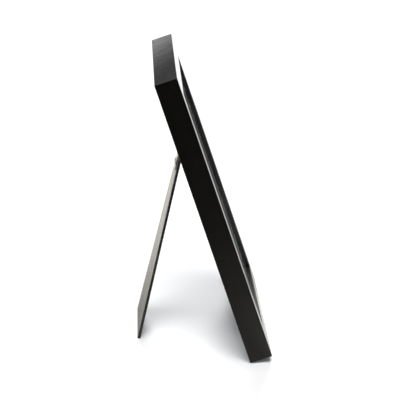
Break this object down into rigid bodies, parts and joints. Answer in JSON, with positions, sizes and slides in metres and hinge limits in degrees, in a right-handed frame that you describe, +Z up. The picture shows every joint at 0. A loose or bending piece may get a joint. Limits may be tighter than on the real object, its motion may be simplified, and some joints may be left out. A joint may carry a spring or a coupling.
{
  "type": "matted picture frame",
  "caption": "Black square-section picture frame with a white window mat under glass, standing on a hinged easel strut.",
  "frame": {"origin": "bottom centre of the whole object's box, on the surface that it stands on", "axes": "+Z up; the frame's front faces -Y and leans back towards the strut at +Y; X runs across the frame"},
  "size_m": [0.235, 0.1287, 0.279],
  "materials": {
    "black_lacquer": "satin black paint over fine-grained wood",
    "black_board": "smooth black-faced fibreboard, satin",
    "clear_glass": "clear float glass, polished",
    "mat_card": "matt white mat card with a bevelled core",
    "picture_paper": "plain smooth paper, no print",
    "pad_card": "brown corrugated card",
    "nickel_steel": "bright nickel plate",
    "zinc_steel": "dull zinc plate"
  },
  "bodies": {
    "frame": {"left_rail": "black_lacquer", "right_rail": "black_lacquer", "top_rail": "black_lacquer", "bottom_rail": "black_lacquer", "wedge_nail_top_left_outer": "zinc_steel", "wedge_nail_top_left_inner": "zinc_steel", "wedge_nail_top_right_outer": "zinc_steel", "wedge_nail_top_right_inner": "zinc_steel", "wedge_nail_bottom_left_outer": "zinc_steel", "wedge_nail_bottom_left_inner": "zinc_steel", "wedge_nail_bottom_right_outer": "zinc_steel", "wedge_nail_bottom_right_inner": "zinc_steel", "glass_pane": "clear_glass", "window_mat": "mat_card", "picture_sheet": "picture_paper", "filler_pad": "pad_card", "backing_board": "black_board", "button_screw_left_lower": "zinc_steel", "button_screw_left_upper": "zinc_steel", "button_screw_right_lower": "zinc_steel", "button_screw_right_upper": "zinc_steel", "button_screw_top": "zinc_steel", "button_screw_bottom": "zinc_steel", "hinge_back_leaf": "nickel_steel", "back_rivet_left": "nickel_steel", "back_rivet_right": "nickel_steel", "hinge_pin": "nickel_steel"},
    "strut": {"strut_board": "black_board", "hinge_strut_leaf": "nickel_steel", "strut_rivet_left": "nickel_steel", "strut_rivet_right": "nickel_steel"},
    "button_left_lower": {"turn_button_left_lower": "nickel_steel"},
    "button_left_upper": {"turn_button_left_upper": "nickel_steel"},
    "button_right_lower": {"turn_button_right_lower": "nickel_steel"},
    "button_right_upper": {"turn_button_right_upper": "nickel_steel"},
    "button_top": {"turn_button_top": "nickel_steel"},
    "button_bottom": {"turn_button_bottom": "nickel_steel"}
  },
  "joints": [
    {"name": "strut_fold", "type": "hinge", "parent": "frame", "child": "strut", "pos_m": [0, 0.01562, 0.19108], "axis": [1, 0, 0], "range_deg": [-30.5, 0]},
    {"name": "button_left_lower_turn", "type": "hinge", "parent": "frame", "child": "button_left_lower", "pos_m": [-0.1063, -0.02479, 0.06909], "axis": [0, 0.9527, -0.304], "range_deg": [-90, 90]},
    {"name": "button_left_upper_turn", "type": "hinge", "parent": "frame", "child": "button_left_upper", "pos_m": [-0.1063, 0.01869, 0.20532], "axis": [0, 0.9527, -0.304], "range_deg": [-90, 90]},
    {"name": "button_right_lower_turn", "type": "hinge", "parent": "frame", "child": "button_right_lower", "pos_m": [0.1063, -0.02479, 0.06909], "axis": [0, 0.9527, -0.304], "range_deg": [-90, 90]},
    {"name": "button_right_upper_turn", "type": "hinge", "parent": "frame", "child": "button_right_upper", "pos_m": [0.1063, 0.01869, 0.20532], "axis": [0, 0.9527, -0.304], "range_deg": [-90, 90]},
    {"name": "button_top_turn", "type": "hinge", "parent": "frame", "child": "button_top", "pos_m": [0, 0.03702, 0.26276], "axis": [0, 0.9527, -0.304], "range_deg": [-90, 90]},
    {"name": "button_bottom_turn", "type": "hinge", "parent": "frame", "child": "button_bottom", "pos_m": [0, -0.04312, 0.01164], "axis": [0, 0.9527, -0.304], "range_deg": [-90, 90]}
  ]
}
